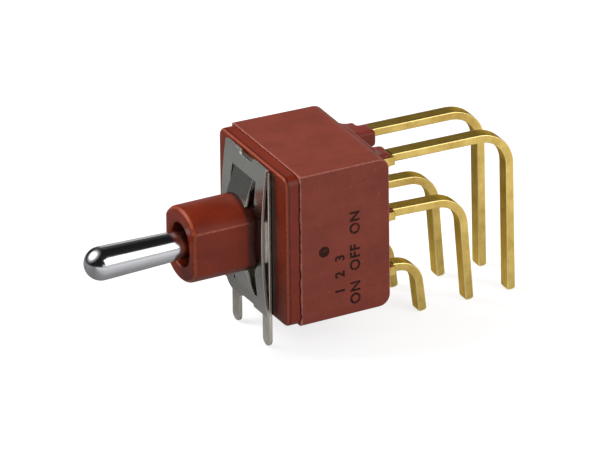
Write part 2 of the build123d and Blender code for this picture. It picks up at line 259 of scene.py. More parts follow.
def moulded_resin(
    name, deep, pale, rough, highlight_of, highlight_tone, line_y, line_width, line_tone, painted_shade_of=None
):
    resin = Finish(name, Specular_IOR_Level=0.28)
    clouds = resin.grain(0.40, detail=4.0)
    flow = resin.grain(0.9, detail=3.0, stretch=(1.0, 0.18, 1.0))
    specks = resin.grain(6.0, detail=3.0, roughness=0.7)
    scuffs = resin.ramp(resin.grain(2.2, detail=5.0, roughness=0.7), (0.60, 0.0), (0.80, 1.0))
    share = clouds * 0.40 + flow * 0.28 + specks * 0.32
    body = resin.tint(resin.ramp(share, (0.34, 0.0), (0.66, 1.0)), deep, pale)
    # Painted highlight: the rounded edges that the mask picks out are tinted paler.
    painted_highlight = resin.ramp(highlight_of(resin), (0.30, 0.0), (0.95, 1.0))
    ragged = resin.ramp(resin.grain(3.0, detail=4.0, roughness=0.7), (0.36, 0.0), (0.56, 1.0))
    y = resin.parts(resin.millimetres())[1]
    wander = resin.grain(1.1, detail=3.0, stretch=(1.0, 0.0, 1.0)) * 0.10 - 0.05
    near_line = resin.ramp(abs(y - line_y + wander) / line_width, (0.35, 1.0), (1.0, 0.0))
    line = near_line * (0.35 + 0.65 * ragged)
    # Paler where the real scuffs are, and where the painted highlight lies on the edges.
    paler = resin.tint(scuffs * 0.20 + painted_highlight * (0.18 + 0.30 * ragged), body, highlight_tone)
    relief = specks * 0.6 + resin.grain(18.0, detail=2.0) * 0.35 + clouds * 1.2 - line * 1.5
    colour = resin.tint(line, paler, line_tone)
    # Painted shade: darken the corners that the mask picks out.
    if painted_shade_of:
        colour = resin.tint(painted_shade_of(resin) * (0.74 + 0.20 * ragged), colour, PAINTED_SHADE_TONE)
    return resin.feed(
        Base_Color=colour,
        Roughness=rough - 0.10 + specks * 0.16 + scuffs * 0.10 - painted_highlight * 0.12,
        Normal=resin.bump(relief, 0.010, strength=0.6),
    )


# The tone printed here is the painted shade tone.
print("recipe for resin, with grime of", [round(c, 3) for c in PAINTED_SHADE_TONE])


# %% Where a moulding gets painted highlight or painted shade
def long_edges(finish):
    """1 on an edge that runs forwards or upwards, half way between a side face and the next."""
    x, _, _ = finish.parts(finish.normal())
    return 4.0 * (x * x) * (1.0 - x * x)


def front_edges(finish):
    """1 on the rounded front edges, and along the upper corners of the bushing's two flats."""
    _, facing, _ = finish.parts(finish.normal())
    _, y, z = finish.parts(finish.millimetres())
    off_corner = abs(z - axis_height - FLAT_CORNER_HEIGHT)
    on_bushing = finish.ramp(bracket_y - y, (0.0, 0.0), (0.2, 1.0))
    on_line = finish.ramp(off_corner / CORNER_LINE_WIDTH, (0.1, 1.0), (1.0, 0.0))
    corner_line = on_line * on_bushing * (1.0 - facing * facing)
    return 4.0 * (facing * facing) * (1.0 - facing * facing) + corner_line


def painted_shade_corners(finish):
    """Painted shade: 1 in the mouth, round the bushing's foot, and on the flange near the clip."""
    x, y, z = finish.parts(finish.millimetres())
    _, facing, _ = finish.parts(finish.normal())
    up = z - axis_height
    foot = finish.ramp(y - FOOT_START, (0.0, 0.0), (0.36, 1.0))
    off_axis = (x * x + up * up) / AXIS_AREA
    near_axis = finish.ramp(off_axis, (0.50, 1.0), (0.60, 0.0))
    in_mouth = finish.ramp(off_axis, (0.20, 1.0), (0.23, 0.0))
    mouth = finish.ramp(y - mouth_y, (0.20, 0.0), (0.85, 1.0)) * in_mouth
    beside = finish.ramp(abs(x) - plate_edge, (0.22, 1.0), (0.80, 0.0))
    level = finish.ramp(abs(up) - plate_half_height, (0.0, 1.0), (PAINTED_SHADE_FADE, 0.0))
    on_flange = finish.ramp(y - bracket_y, (0.0, 0.0), (0.2, 1.0))
    on_bushing = (mouth * 0.7 + foot * near_axis * (1.0 - mouth)) * (1.0 - on_flange)
    return on_bushing + beside * level * on_flange * (facing * facing)


print("corner line", round(FLAT_CORNER_HEIGHT, 2), "mm above the middle of the bushing")

# %% Case and cover resin
# Case: its paler rounded edges and the pale line at its mouth are painted highlight.
case_resin = moulded_resin(
    "case_resin", shade(112, 44, 31), shade(138, 60, 44), 0.50, long_edges, shade(206, 138, 122),
    seam_y + MOUTH_HIGHLIGHT_DISTANCE, MOUTH_HIGHLIGHT_WIDTH, shade(176, 108, 96),
)
# Cover: its paler front edges and the upper corners of its flats are painted highlight, and its
# darkened corners are painted shade.
cover_resin = moulded_resin(
    "cover_resin", shade(100, 26, 6), shade(131, 42, 13), 0.44, front_edges, shade(190, 102, 72),
    seam_y - PARTING_DISTANCE, PARTING_WIDTH, shade(62, 14, 8), painted_shade_corners,
)
print("resins:", case_resin.name, cover_resin.name)

# %% [markdown]
# ## Plated metals
#
# Four metals show: bright chrome on the lever, thin gold on the terminals, dull tin on the
# bracket and satin spring steel on the clip. Each is a metal with a constant colour broken by
# smudges, and with fine drawing lines in the direction that the strip or wire was worked. The long
# edges of the terminals and of the bracket's legs are painted brighter as a highlight. Gold stays
# yellow even where it is seen at a low angle, so its mirror tint is set as well.


# %% How a metal is plated
WHITE = (1, 1, 1, 1)


def plated_metal(
    name, bright, dull, rough, lines, line_depth, smudge=0.5, edge_highlight_tone=None, grazing=WHITE
):
    metal = Finish(name, Metallic=1.0, Specular_Tint=grazing)
    haze = metal.grain(0.8, detail=4.0, roughness=0.6)
    drawn = metal.grain(9.0, detail=3.0, stretch=lines)
    spots = metal.ramp(metal.grain(3.2, detail=4.0, roughness=0.65), (0.60, 0.0), (0.78, 1.0))
    streaks = metal.ramp(drawn, (0.40, 0.0), (0.62, 1.0))
    film = metal.ramp(haze, (0.35, 0.0), (0.70, 1.0))
    share = (film * 0.6 + streaks * 0.4) * smudge + spots * (0.5 * smudge)
    body = metal.tint(share, bright, dull)
    # Painted highlight: the long edges are tinted brighter.
    if edge_highlight_tone:
        painted_edge_highlight = metal.ramp(long_edges(metal), (0.15, 0.0), (0.85, 1.0))
        body = metal.tint(painted_edge_highlight * 0.8, body, edge_highlight_tone)
    return metal.feed(
        Base_Color=body,
        Roughness=rough + drawn * (0.35 * rough) + spots * (0.5 * rough),
        Normal=metal.bump(drawn + haze * 0.6, line_depth, strength=0.5),
    )


print("recipe for plated metal")

# %% Chrome, gold, tin and spring steel
ALONG_Y, ALONG_YZ, ALONG_Z, ALONG_X = (1, 0.1, 1), (1, 0.10, 0.10), (1, 1, 0.12), (0.12, 1, 1)
chrome = plated_metal(
    "lever_chrome", (0.58, 0.585, 0.61, 1), (0.49, 0.495, 0.52, 1), 0.13, ALONG_Y, 0.0008
)
gold = plated_metal(
    "terminal_gold", (0.74, 0.54, 0.17, 1), (0.45, 0.30, 0.065, 1), 0.33, ALONG_YZ, 0.010, 0.8,
    edge_highlight_tone=(0.97, 0.78, 0.34, 1), grazing=(0.96, 0.73, 0.28, 1),
)
tin = plated_metal(
    "bracket_tin", (0.80, 0.77, 0.69, 1), (0.48, 0.45, 0.38, 1), 0.30, ALONG_Z, 0.012, 0.9,
    edge_highlight_tone=(0.64, 0.62, 0.56, 1),
)
spring_steel = plated_metal(
    "clip_steel", (0.46, 0.46, 0.43, 1), (0.38, 0.38, 0.35, 1), 0.20, ALONG_X, 0.003, 0.35
)
print("metals:", [m.name for m in (chrome, gold, tin, spring_steel)])

# %% [markdown]
# ## Potting, rubber and the pieces inside
#
# The potting is dark red epoxy, poured and glossy, with small dents where it shrank. The pieces
# inside are hidden by the closed case, but they are part of the object and get plain finishes
# with some grain of their own.


# %% Potting and inner finishes
def plain_finish(name, dark, light, rough, scale, metallic=0.0, specular=0.5):
    plain = Finish(name, Metallic=metallic, Specular_IOR_Level=specular)
    cloud = plain.grain(scale, detail=3.0)
    return plain.feed(
        Base_Color=plain.tint(cloud, dark, light),
        Roughness=rough + cloud * 0.12,
        Normal=plain.bump(cloud, 0.006, strength=0.4),
    )


def poured_epoxy():
    epoxy = Finish("potting_epoxy", Specular_IOR_Level=0.25)
    depth = epoxy.grain(0.7, detail=4.0)
    dents = epoxy.grain(0.9, detail=2.0)
    return epoxy.feed(
        Base_Color=epoxy.tint(depth, shade(102, 30, 21), shade(134, 54, 40)),
        Roughness=0.30 + dents * 0.16,
        Normal=epoxy.bump(dents, 0.03, strength=0.5),
    )


potting_epoxy = poured_epoxy()
ring_rubber = plain_finish("ring_rubber", shade(22, 22, 22), shade(44, 44, 44), 0.62, 5.0)
inner_resin = plain_finish("inner_resin", shade(206, 200, 186), shade(226, 222, 210), 0.40, 2.0)
inner_steel = plain_finish(
    "inner_steel", (0.48, 0.48, 0.48, 1), (0.62, 0.62, 0.62, 1), 0.22, 6.0, metallic=1.0
)
print("plain finishes:", [m.name for m in (potting_epoxy, ring_rubber, inner_resin, inner_steel)])

# %% One finish for each solid
finish_of = {
    "case": case_resin,
    "cover_bushing": cover_resin,
    "toggle_lever": chrome,
    "pivot_pin": inner_steel,
    "lever_o_ring": ring_rubber,
    "plunger_carrier": inner_resin,
    "terminal_seal": potting_epoxy,
    "support_bracket": tin,
    "retaining_clip": spring_steel,
}
for name in nodes:
    if name.startswith("plunger_spring"):
        finish_of[name] = inner_steel
    elif name.startswith("plunger_") and name not in finish_of:
        finish_of[name] = inner_resin
    elif name.startswith(("terminal_left", "terminal_right", "rocker")):
        finish_of[name] = gold
for name, material in finish_of.items():
    nodes[name].data.materials.clear()
    nodes[name].data.materials.append(material)
print("finishes on", len(finish_of), "of", len(nodes), "nodes")

# %% [markdown]
# ## Softened edges
#
# No stamped or moulded edge is perfectly sharp: its small radius is what catches the light. A
# solid's mesh is never changed, so a piece with sharp edges is copied, its triangles are merged
# into whole faces, a Bevel modifier rounds the outer edges, and the result stands for the solid.
# Normals weighted by area keep the flat faces flat, so only the narrow edges shine.

# %% Helpers for new pieces
FLAT_ANGLE = math.radians(0.5)
CREASE_ANGLE = math.radians(17.0)
EDGE_ANGLE = math.radians(32.0)
MERGE_DISTANCE = 0.0004 * MM
SHORTEST_EDGE = 0.03 * MM
ROUND_STEPS = 3
FULL_AREA_WEIGHT = 100


def evaluated_mesh(piece):
    """The piece's mesh with its modifiers worked in."""
    graph = bpy.context.evaluated_depsgraph_get()
    return bpy.data.meshes.new_from_object(piece.evaluated_get(graph), depsgraph=graph)


def add_piece(name, mesh, body):
    piece = bpy.data.objects.new(name, mesh)
    bpy.context.scene.collection.objects.link(piece)
    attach(piece, body)
    return piece


def merged_copy(node):
    """A solid's loose triangles, joined at their corners."""
    work = bmesh.new()
    work.from_mesh(nodes[node].data)
    bmesh.ops.remove_doubles(work, verts=work.verts, dist=MERGE_DISTANCE)
    return work


def draft_of(data):
    """An object to hang modifiers on, which is thrown away once they are worked in."""
    draft = bpy.data.objects.new("draft", data)
    bpy.context.scene.collection.objects.link(draft)
    return draft


print("an edge counts from", round(math.degrees(EDGE_ANGLE)), "degrees")


# %% Rounded copies of the stamped pieces
def softened(node, radius, body, shown_from):
    """A copy of a solid with its outer edges rounded, where they lie behind shown_from."""
    work = merged_copy(node)
    bmesh.ops.dissolve_limit(work, angle_limit=FLAT_ANGLE, verts=work.verts, edges=work.edges)
    bmesh.ops.dissolve_degenerate(work, dist=SHORTEST_EDGE, edges=work.edges)
    rounded = work.edges.layers.float.new("bevel_weight_edge")
    for edge in work.edges:
        shown = min(v.co.y for v in edge.verts) > shown_from
        edge[rounded] = float(shown and edge.is_convex and edge.calc_face_angle() > EDGE_ANGLE)
    mesh = bpy.data.meshes.new(node + "_rounded")
    work.to_mesh(mesh)
    work.free()
    mesh.shade_smooth()
    mesh.set_sharp_from_angle(angle=CREASE_ANGLE)
    draft = draft_of(mesh)
    round_edges = draft.modifiers.new("round", "BEVEL")
    round_edges.width = radius * MM
    round_edges.segments = ROUND_STEPS
    round_edges.limit_method = "WEIGHT"
    round_edges.use_clamp_overlap = False
    even_light = draft.modifiers.new("even_light", "WEIGHTED_NORMAL")
    even_light.keep_sharp = True
    even_light.weight = FULL_AREA_WEIGHT
    result = evaluated_mesh(draft)
    bpy.data.objects.remove(draft)
    result.materials.clear()
    result.materials.append(finish_of[node])
    piece = add_piece(node + "_rounded", result, body)
    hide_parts(node)
    return piece


terminal_names = [n for n in nodes if n.startswith(("terminal_left", "terminal_right"))]
BRACKET_RADIUS, CLIP_RADIUS, TERMINAL_RADIUS = 0.07, 0.030, 0.10
made = [
    softened("support_bracket", BRACKET_RADIUS, "base", cad_low.y),
    softened("retaining_clip", CLIP_RADIUS, "base", cad_low.y),
]
made += [
    softened(name, TERMINAL_RADIUS, "base", case_high.y) for name in terminal_names
]
print("rounded:", [(piece.name, len(piece.data.polygons)) for piece in made])

# %% [markdown]
# ## Springs behind the plungers
#
# Inside the case, a coil spring in the carrier pushes each plunger against its rocker contact. A
# stiff copy of the coil would cut into the plunger when that is pressed in. A copy of each coil,
# joined at its corners and smooth shaded, stands for the solid at its full length.


# %% Copies of the springs
def shortening_spring(side):
    node, joint_name = f"plunger_spring_{side}", f"plunger_slide_{side}"
    joint = next(j for j in frame["joints"] if j["name"] == joint_name)
    travel = max(abs(limit) for limit in joint["range_m"])
    seat, free_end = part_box(node)
    work = merged_copy(node)
    mesh = bpy.data.meshes.new(node + "_coil")
    work.to_mesh(mesh)
    work.free()
    mesh.shade_smooth()
    mesh.set_sharp_from_angle(angle=EDGE_ANGLE)
    mesh.materials.clear()
    mesh.materials.append(finish_of[node])
    spring = add_piece(node + "_coil", mesh, "toggle")
    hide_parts(node)
    kept = 1.0 - travel / (free_end.y - seat.y)
    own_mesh(spring)
    return spring


springs = [shortening_spring(side) for side in ("left", "right")]
print("springs:", [(piece.name, len(piece.data.polygons)) for piece in springs])

# %% [markdown]
# ## Potting that climbs the terminals
#
# After the terminals are in, epoxy is poured into the back of the case. It creeps up each
# terminal before it sets and leaves a hollow-sided collar, wide at its foot and thin at its rim.
# The six collars repeat with small differences, so a Geometry Nodes tree sweeps one sleeve along a
# short line, pushes its foot outwards, and puts it on each terminal's place with a reach of its
# own. A voxel remesh then melts slab, collars, one larger run and the epoxy that stands on the
# case's rim into a single skin, and smoothing rounds it as surface tension does.

# %% Places of the terminals
case_back = case_high.y


def terminal_place(name):
    """Middle of a terminal's straight run where it leaves the case."""
    near_case = [v.co for v in nodes[name].data.vertices if v.co.y < case_back]
    low, high = (Vector([pick(c[i] for c in near_case) for i in range(3)]) for pick in (min, max))
    return Vector(((low.x + high.x) / 2, case_back, (low.z + high.z) / 2))


places = [terminal_place(name) for name in terminal_names]
print("terminals at x, z:", [(round(p.x / MM, 2), round(p.z / MM, 2)) for p in places])

# %% Collar tree
SLEEVE_STEPS = 16
HOLLOW_POWER = 3.0
SMALLEST, LARGEST = 0.96, 1.04
COLLAR_INPUTS = {
    "Geometry": "Geometry", "Width": "Float", "Height": "Float", "Start": "Vector",
    "Reach": "Vector", "Foot spread": "Float", "Shortest reach": "Float", "Seed": "Int",
    "Epoxy": "Material",
}


def collar_tree():
    tree = bpy.data.node_groups.new("potting_collars", "GeometryNodeTree")
    face = tree.interface
    face.new_socket("Geometry", in_out="OUTPUT", socket_type="NodeSocketGeometry")
    named = {
        name: face.new_socket(name, in_out="INPUT", socket_type="NodeSocket" + kind)
        for name, kind in COLLAR_INPUTS.items()
    }
    source, result = tree.nodes.new("NodeGroupInput"), tree.nodes.new("NodeGroupOutput")

    def add(kind, links, **settings):
        made = tree.nodes.new(kind)
        for key, value in settings.items():
            setattr(made, key, value)
        for key, value in links.items():
            if isinstance(value, str):
                tree.links.new(source.outputs[value], made.inputs[key])
            elif isinstance(value, bpy.types.Node):
                tree.links.new(value.outputs[0], made.inputs[key])
            else:
                made.inputs[key].default_value = value
        return made

    line = add("GeometryNodeCurvePrimitiveLine", {"Start": "Start", "End": "Reach"})
    steps = add("GeometryNodeResampleCurve", {"Curve": line, "Count": SLEEVE_STEPS})
    size = {"Width": "Width", "Height": "Height"}
    outline = add("GeometryNodeCurvePrimitiveQuadrilateral", size)
    swept = {"Curve": steps, "Profile Curve": outline, "Fill Caps": True}
    sleeve = add("GeometryNodeCurveToMesh", swept)
    place = add("ShaderNodeSeparateXYZ", {0: add("GeometryNodeInputPosition", {})})
    first, last = (add("ShaderNodeSeparateXYZ", {0: name}) for name in ("Start", "Reach"))
    left = add("ShaderNodeMapRange", {"To Min": 1.0, "To Max": 0.0})
    for key, vector in (("Value", place), ("From Min", first), ("From Max", last)):
        tree.links.new(vector.outputs["Y"], left.inputs[key])
    hollow = add("ShaderNodeMath", {0: left, 1: HOLLOW_POWER}, operation="POWER")
    spread = add("ShaderNodeMath", {0: hollow, 1: "Foot spread"}, operation="MULTIPLY")
    outward = add("ShaderNodeCombineXYZ", {})
    for axis in "XZ":
        way = add("ShaderNodeMath", {}, operation="SIGN")
        tree.links.new(place.outputs[axis], way.inputs[0])
        shift = add("ShaderNodeMath", {0: way, 1: spread}, operation="MULTIPLY")
        tree.links.new(shift.outputs[0], outward.inputs[axis])
    skirt = add("GeometryNodeSetPosition", {"Geometry": sleeve, "Offset": outward})
    low = add("ShaderNodeCombineXYZ", {"X": SMALLEST, "Y": "Shortest reach", "Z": SMALLEST})
    limits = {"Min": low, "Max": (LARGEST, 1.0, LARGEST), "Seed": "Seed"}
    scale = add("FunctionNodeRandomValue", limits, data_type="FLOAT_VECTOR")
    spread_out = {"Points": "Geometry", "Instance": skirt, "Scale": scale}
    placed = add("GeometryNodeInstanceOnPoints", spread_out)
    real = add("GeometryNodeRealizeInstances", {0: placed})
    painted = add("GeometryNodeSetMaterial", {"Geometry": real, "Material": "Epoxy"})
    tree.links.new(painted.outputs[0], result.inputs[0])
    return tree, {name: socket.identifier for name, socket in named.items()}


collars, collar_input = collar_tree()
print("collar tree inputs:", collar_input)

# %% A collar on each terminal
points = bpy.data.meshes.new("terminal_places")
points.from_pydata(places, [], [])
draft = draft_of(points)
grow = draft.modifiers.new("collars", "NODES")
grow.node_group = collars
collar_sizes = {
    "Width": 1.86 * MM, "Height": 1.14 * MM, "Foot spread": 0.6 * MM,
    "Start": (0.0, -0.4 * MM, 0.0), "Reach": (0.0, 1.60 * MM, 0.0),
    "Shortest reach": 0.75, "Seed": 4, "Epoxy": potting_epoxy,
}
for name, value in collar_sizes.items():
    grow[collar_input[name]] = value
collar_mesh = evaluated_mesh(draft)
bpy.data.objects.remove(draft)
collar_end = max(v.co.y for v in collar_mesh.vertices)
print("collars:", len(collar_mesh.polygons), "faces, up to", round(collar_end / MM, 2), "mm back")

# %% Slab, larger run and rim, in millimetres from the top terminals
SLAB_DROP = 0.12
RUN_LOW, RUN_HIGH = Vector((-0.25, -0.60, -0.80)), Vector((1.50, 2.30, 0.60))
RIM_LOW, RIM_HIGH = Vector((0.60, -1.20, 0.10)), Vector((1.05, 0.06, 1.36))
RUN_EDGE = 0.22
pour = bmesh.new()
pour.from_mesh(collar_mesh)


def pour_block(low, high, edge=0.0):
    """Add a block of epoxy between two corners, with its edges rounded where asked."""
    middle, span = (Vector(low) + Vector(high)) / 2, Vector(high) - Vector(low)
    place = Matrix.Translation(middle) @ Matrix.Diagonal(span.to_4d())
    block = bmesh.ops.create_cube(pour, size=1.0, matrix=place)["verts"]
    if edge:
        edges = list({e for vert in block for e in vert.link_edges})
        bmesh.ops.bevel(
            pour, geom=edges, offset=edge, segments=ROUND_STEPS, profile=0.5, affect="EDGES"
        )


seal_low, seal_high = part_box("terminal_seal")
slab_high = Vector((seal_high.x, case_back - SLAB_DROP * MM, seal_high.z))
pour_block(seal_low, slab_high)
run_start = terminal_place("terminal_left_top")
run_end = terminal_place("terminal_right_top")
pour_block(run_start + RUN_LOW * MM, run_start + RUN_HIGH * MM, RUN_EDGE * MM)
pour_block(run_start + RIM_LOW * MM, run_end + RIM_HIGH * MM, RUN_EDGE * MM)
pour_mesh = bpy.data.meshes.new("potting")
pour.to_mesh(pour_mesh)
pour.free()
print("poured:", len(pour_mesh.polygons), "faces before melting")

# %% Melted into one skin
VOXEL = 0.07 * MM
SETTLE_FACTOR, SETTLE_ROUNDS = 0.5, 50
draft = draft_of(pour_mesh)
melt = draft.modifiers.new("melt", "REMESH")
melt.mode = "VOXEL"
melt.voxel_size = VOXEL
settle = draft.modifiers.new("settle", "SMOOTH")
settle.factor, settle.iterations = SETTLE_FACTOR, SETTLE_ROUNDS
potting_mesh = evaluated_mesh(draft)
bpy.data.objects.remove(draft)
potting_mesh.materials.clear()
potting_mesh.materials.append(potting_epoxy)
potting_mesh.shade_smooth()
potting = add_piece("potting", potting_mesh, "base")
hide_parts("terminal_seal")
print("potting:", len(potting_mesh.polygons), "faces")

# %% [markdown]
# ## Seam between case and cover
#
# A thin dark bead runs round the seam between case and cover; its dark tone is painted shade of
# the groove there. It shows as a dark, slightly ragged line all round. The bead follows the rounded
# outline of the cover, so it is swept as a ring of small sections whose width wanders with noise.

# %% The outline that the bead follows
FLANGE_CORNER = 0.75
QUARTER = math.pi / 2
flange_low, flange_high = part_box("cover_bushing")
half_x = flange_high.x / MM
half_z = (flange_high.z - flange_low.z) / 2 / MM
middle_z = (flange_low.z + flange_high.z) / 2


def outline_point(distance, half_x, half_z, corner):
    """A point and its outward direction on a rounded rectangle, by the distance walked round it."""
    straight_x, straight_z, arc = 2 * (half_x - corner), 2 * (half_z - corner), corner * QUARTER
    centre = Vector((half_x - corner, half_z - corner))
    for quarter, run in enumerate((straight_z, straight_x, straight_z, straight_x)):
        out = Vector((math.cos(quarter * QUARTER), math.sin(quarter * QUARTER)))
        along = Vector((-out.y, out.x))
        if distance < run:
            reach = half_x if quarter % 2 == 0 else half_z
            return out * reach + along * (distance - run / 2), out
        distance -= run
        if distance < arc:
            angle = quarter * QUARTER + distance / corner
            out = Vector((math.cos(angle), math.sin(angle)))
            turn_x = math.copysign(centre.x, math.cos(quarter * QUARTER + QUARTER / 2))
            turn_z = math.copysign(centre.y, math.sin(quarter * QUARTER + QUARTER / 2))
            return Vector((turn_x, turn_z)) + out * corner, out
        distance -= arc
    return outline_point(0.0, half_x, half_z, corner)


length = 4 * (half_x + half_z) - 8 * FLANGE_CORNER + 2 * math.pi * FLANGE_CORNER
print("seam:", round(length, 1), "mm round the flange")

# %% Seam bead
BEAD_WIDTH, BEAD_DEPTH, BEAD_STEP = 0.075, 0.06, 0.10
BEAD_SIDES = 8
BEAD_RISE, RISE_WANDER, PLACE_WANDER = 0.028, 0.012, 0.09
WIDTH_WANDER, TOP_NARROWING = 0.45, 0.45
COARSE, FINE = 1.7, 6.0
COARSE_LAYER, FINE_LAYER = 3.0, 8.0
steps = int(length / BEAD_STEP)
bead = bmesh.new()
rings = []
for step in range(steps):
    spot, out = outline_point(step * length / steps, half_x, half_z, FLANGE_CORNER)
    rough = noise.noise((spot.x * COARSE, spot.y * COARSE, COARSE_LAYER))
    fine = noise.noise((spot.x * FINE, spot.y * FINE, FINE_LAYER))
    narrowed = 1.0 - TOP_NARROWING * max(out.y, 0.0)
    width = BEAD_WIDTH * (1.0 + WIDTH_WANDER * rough + WIDTH_WANDER * fine) * narrowed
    rise = BEAD_RISE + RISE_WANDER * fine - BEAD_DEPTH
    ring = []
    for side in range(BEAD_SIDES):
        angle = side * 2 * math.pi / BEAD_SIDES
        reach = rise + BEAD_DEPTH * math.cos(angle)
        place = spot + out * reach
        y = width * math.sin(angle) + PLACE_WANDER * rough
        ring.append(bead.verts.new((place.x * MM, case_low.y + y * MM, middle_z + place.y * MM)))
    rings.append(ring)
for first, second in zip(rings, rings[1:] + rings[:1]):
    for side in range(BEAD_SIDES):
        after = (side + 1) % BEAD_SIDES
        bead.faces.new((first[side], first[after], second[after], second[side]))
bmesh.ops.recalc_face_normals(bead, faces=bead.faces)
bead_mesh = bpy.data.meshes.new("seam_bead")
bead.to_mesh(bead_mesh)
bead.free()
bead_mesh.shade_smooth()
# Painted shade: the bead's dark tone stands for the shade in the seam's groove.
painted_seam_shade = plain_finish("painted_seam_shade", shade(34, 6, 4), shade(64, 14, 8), 0.7, 4.0, specular=0.1)
bead_mesh.materials.append(painted_seam_shade)
add_piece("seam_bead", bead_mesh, "base")
print("seam bead:", steps, "sections")

# %% [markdown]
# ## Printed marks
#
# A satin moulding takes stamped ink well, and on the side it carries a plain dot and the usual
# position marks of an on-off-on switch. The ink is patchy, because the stamp skips on the
# grain. Text is made a mesh first and then laid on the side, which leans by the mould's draft.


# %% Stamped ink
def stamped_ink():
    ink = Finish("stamped_ink", Specular_IOR_Level=0.1)
    skips = ink.ramp(ink.grain(4.5, detail=4.0, roughness=0.7), (0.48, 0.0), (0.66, 1.0))
    return ink.feed(
        Base_Color=ink.tint(skips * 0.65, shade(34, 18, 14), shade(108, 50, 38)),
        Roughness=0.55 + skips * 0.1,
    )


INK = stamped_ink()
INK_LIFT, INK_THICKNESS = 0.006, 0.006
CAPITAL_SHARE, STROKE_SPREAD, LETTER_SPACING = 0.7, 0.035, 1.12
DOT_SIDES = 40
DRAFT_ANGLE = math.radians(1.0)
print("ink:", INK.name, "lifted by", INK_LIFT, "mm")


# %% Marks on the case's side
def lay_on_side(mesh, y, z, name):
    """Turn a flat drawing to read upwards, and lay it on the +X side with y from the seam."""
    x = case_high.x / MM - y * math.tan(DRAFT_ANGLE) + INK_LIFT
    lean = Matrix.Rotation(DRAFT_ANGLE, 4, "Z")
    stand = Matrix(((0, 0, 1, 0), (0, -1, 0, 0), (1, 0, 0, 0), (0, 0, 0, 1)))
    place = Vector((x * MM, case_low.y + y * MM, seam_centre.z + z * MM))
    mesh.transform(Matrix.Translation(place) @ lean @ stand @ Matrix.Scale(MM, 4))
    mesh.materials.clear()
    mesh.materials.append(INK)
    return add_piece(name, mesh, "base")


def stamped_words(words, height, y, z, name):
    data = bpy.data.curves.new("words", "FONT")
    data.body = words
    data.size = height / CAPITAL_SHARE
    data.align_x, data.align_y = "CENTER", "CENTER"
    data.extrude = INK_THICKNESS / 2
    data.offset = STROKE_SPREAD
    data.space_character = LETTER_SPACING
    draft = draft_of(data)
    mesh = evaluated_mesh(draft)
    bpy.data.objects.remove(draft)
    return lay_on_side(mesh, y, z, name)


def stamped_dot(radius, y, z):
    disc = bmesh.new()
    bmesh.ops.create_cone(
        disc, cap_ends=True, segments=DOT_SIDES, radius1=radius, radius2=radius, depth=INK_THICKNESS
    )
    mesh = bpy.data.meshes.new("mark_dot")
    disc.to_mesh(mesh)
    disc.free()
    return lay_on_side(mesh, y, z, "mark_dot")


stamped_dot(0.46, 2.12, -0.48)
stamped_words("1  2  3", 0.80, 3.53, -2.75, "mark_numbers")
stamped_words("ON  OFF  ON", 0.84, 4.88, -1.58, "mark_positions")
print("marks laid on the side")

# %% [markdown]
# ## Camera
#
# The photograph is nearly without perspective: parallel edges of the case stay parallel. A long
# lens from well over a metre away gives that. The view is from the right and above, and the
# camera is rolled by less than a degree, as the edges of the case show.

# %% Camera at the photograph's angle
PIXELS_PER_MM = 12.876
FRAME_PIXELS = 600
AZIMUTH, ELEVATION, ROLL = (math.radians(a) for a in (62.81, 25.82, -0.706))
CAMERA_DISTANCE, CLIP_END = 1.4, 10.0
ANCHOR_BEHIND_SEAM, MIDDLE_RIGHT, MIDDLE_DOWN = 0.28, 2.387, 0.113
back = Vector((
    math.sin(AZIMUTH) * math.cos(ELEVATION),
    -math.cos(AZIMUTH) * math.cos(ELEVATION),
    math.sin(ELEVATION),
))
level_right = Vector((math.cos(AZIMUTH), math.sin(AZIMUTH), 0.0))
level_up = back.cross(level_right)
right = level_right * math.cos(ROLL) + level_up * math.sin(ROLL)
up = back.cross(right)
picture_anchor = seam_centre + Vector((0.0, ANCHOR_BEHIND_SEAM * MM, 0.0))
target = picture_anchor + right * (MIDDLE_RIGHT * MM) - up * (MIDDLE_DOWN * MM)

camera_data = bpy.data.cameras.new("camera")
camera = bpy.data.objects.new("camera", camera_data)
bpy.context.scene.collection.objects.link(camera)
bpy.context.scene.camera = camera
turn = Matrix((right, up, back)).transposed().to_4x4()
camera.matrix_world = Matrix.Translation(target + back * CAMERA_DISTANCE) @ turn
view_width = FRAME_PIXELS / PIXELS_PER_MM * MM
camera_data.lens = camera_data.sensor_width * CAMERA_DISTANCE / view_width
camera_data.clip_end = CLIP_END
print("lens", round(camera_data.lens), "mm, picture", round(view_width / MM, 1), "mm wide")

# %% [markdown]
# ## Floor and light
#
# The switch stands on a white sheet. Chrome and gold show whatever surrounds them, so the room
# matters as much as the lamps: a pale wall to the right and behind, where the large lamp hangs,
# and a dark ceiling that gives the lever its black band and the terminals their dark tops. In
# reflections alone the sheet carries painted light, a glow towards the lamp side, and painted
# shade, darker close beside the switch and falling off to grey on the far side. The camera
# itself sees white paper, and the object's shadow stays on it.

# %% Floor
FLOOR_SIZE = 3.0
PAPER_TONE = 0.40
PAPER_GLOW, MIRRORED_GLOW = 0.76, 0.62
NEAR_START, FAR_START, SPAN = -20.0, -110.0, 140.0
LIT_SIDE = Vector((0.89, 0.46, 0.0))
floor_mesh = bpy.data.meshes.new("floor")
corners = [(-1, -1), (1, -1), (1, 1), (-1, 1)]
floor_points = [(x * FLOOR_SIZE, y * FLOOR_SIZE, cad_low.z) for x, y in corners]
floor_mesh.from_pydata(floor_points, [], [(0, 1, 2, 3)])
floor = bpy.data.objects.new("floor", floor_mesh)
bpy.context.scene.collection.objects.link(floor)
print("floor at", round(cad_low.z / MM, 2), "mm")

